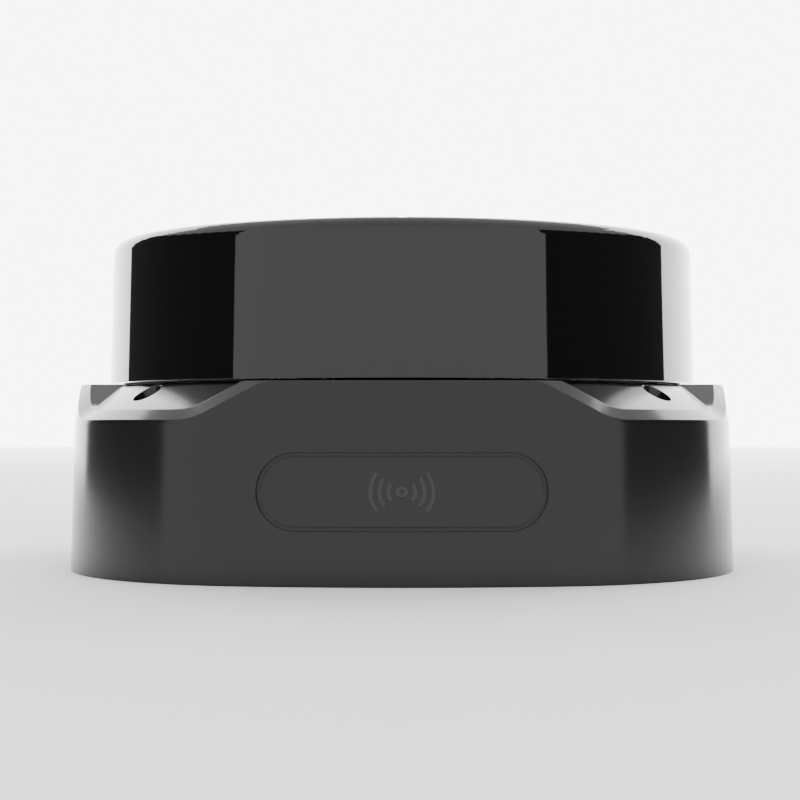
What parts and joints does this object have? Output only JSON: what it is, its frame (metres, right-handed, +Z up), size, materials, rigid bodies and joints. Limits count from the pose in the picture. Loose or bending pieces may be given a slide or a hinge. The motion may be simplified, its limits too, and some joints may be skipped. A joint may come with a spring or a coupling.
{
  "type": "lidar scanner module",
  "caption": "Low square base with waved corners carrying a spinning round sensor head, with bottom mounting inserts and a rear socket.",
  "frame": {"origin": "centre of the flat underside, on the spin axis", "axes": "+Z up along the spin axis, +Y towards the rear socket, front face towards -Y"},
  "size_m": [0.077, 0.077, 0.0388],
  "materials": {
    "base_shell": "satin, fine moulded grain",
    "head_gloss": "polished infrared-pass plastic",
    "dark_plate": "black anodised, bead blasted",
    "brass_insert": "knurled brass",
    "black_screw": "black oxide steel",
    "bright_steel": "ground bearing steel",
    "board_green": "solder-masked laminate",
    "chip_black": "moulded epoxy",
    "socket_white": "natural nylon",
    "gold_pin": "gold flash",
    "spindle_alloy": "turned alloy",
    "cage_brass": "pressed brass",
    "lamination": "stacked laminations",
    "copper_wire": "enamelled copper wire",
    "magnet_grey": "bonded magnet",
    "ferrite_black": "sintered ferrite",
    "rotor_plastic": "glass-filled nylon",
    "lens_glass": "coated glass",
    "lamp_clear": "clear epoxy"
  },
  "bodies": {
    "base": {"base_housing": "base_shell", "base_plate": "dark_plate", "mounting_inserts": "brass_insert", "corner_screws": "black_screw", "board_screws": "black_screw", "main_board": "board_green", "board_chips": "chip_black", "photo_sensor": "chip_black", "connector_socket": "socket_white", "connector_pins": "gold_pin", "spindle_housing": "spindle_alloy", "lower_outer_ring": "bright_steel", "upper_outer_ring": "bright_steel", "stator_core": "lamination", "stator_windings": "copper_wire", "base_coil": "copper_wire", "base_ferrite": "ferrite_black", "light_sender": "lamp_clear"},
    "head": {"head_cover": "head_gloss", "cover_screws": "black_screw", "rotor_board": "board_green", "sensor_board": "board_green", "rotor_chips": "chip_black", "sensor_chip": "chip_black", "lower_inner_ring": "bright_steel", "upper_inner_ring": "bright_steel", "shaft": "bright_steel", "shaft_clip": "black_screw", "magnet_ring": "magnet_grey", "rotor_bell": "spindle_alloy", "encoder_comb": "rotor_plastic", "head_coil": "copper_wire", "head_ferrite": "ferrite_black", "light_receiver": "lamp_clear", "rotor_platform": "rotor_plastic", "optics_bracket": "rotor_plastic", "laser_barrel": "dark_plate", "receiver_barrel": "dark_plate", "laser_lens": "lens_glass", "receiver_lens": "lens_glass", "laser_diode": "gold_pin", "balance_weight": "cage_brass"},
    "lower_ball_set": {"lower_balls": "bright_steel", "lower_cage": "cage_brass"},
    "upper_ball_set": {"upper_balls": "bright_steel", "upper_cage": "cage_brass"}
  },
  "joints": [
    {"name": "head_spin", "type": "hinge", "parent": "base", "child": "head", "pos_m": [0, 0, 0.03], "axis": [0, 0, 1], "continuous": true},
    {"name": "lower_balls_roll", "type": "hinge", "parent": "base", "child": "lower_ball_set", "pos_m": [0, 0, 0.0065], "axis": [0, 0, 1], "continuous": true},
    {"name": "upper_balls_roll", "type": "hinge", "parent": "base", "child": "upper_ball_set", "pos_m": [0, 0, 0.0165], "axis": [0, 0, 1], "continuous": true}
  ],
  "couplings": [
    {"joint": "lower_balls_roll", "follows": "head_spin", "ratio": 0.39333},
    {"joint": "upper_balls_roll", "follows": "head_spin", "ratio": 0.39333}
  ]
}
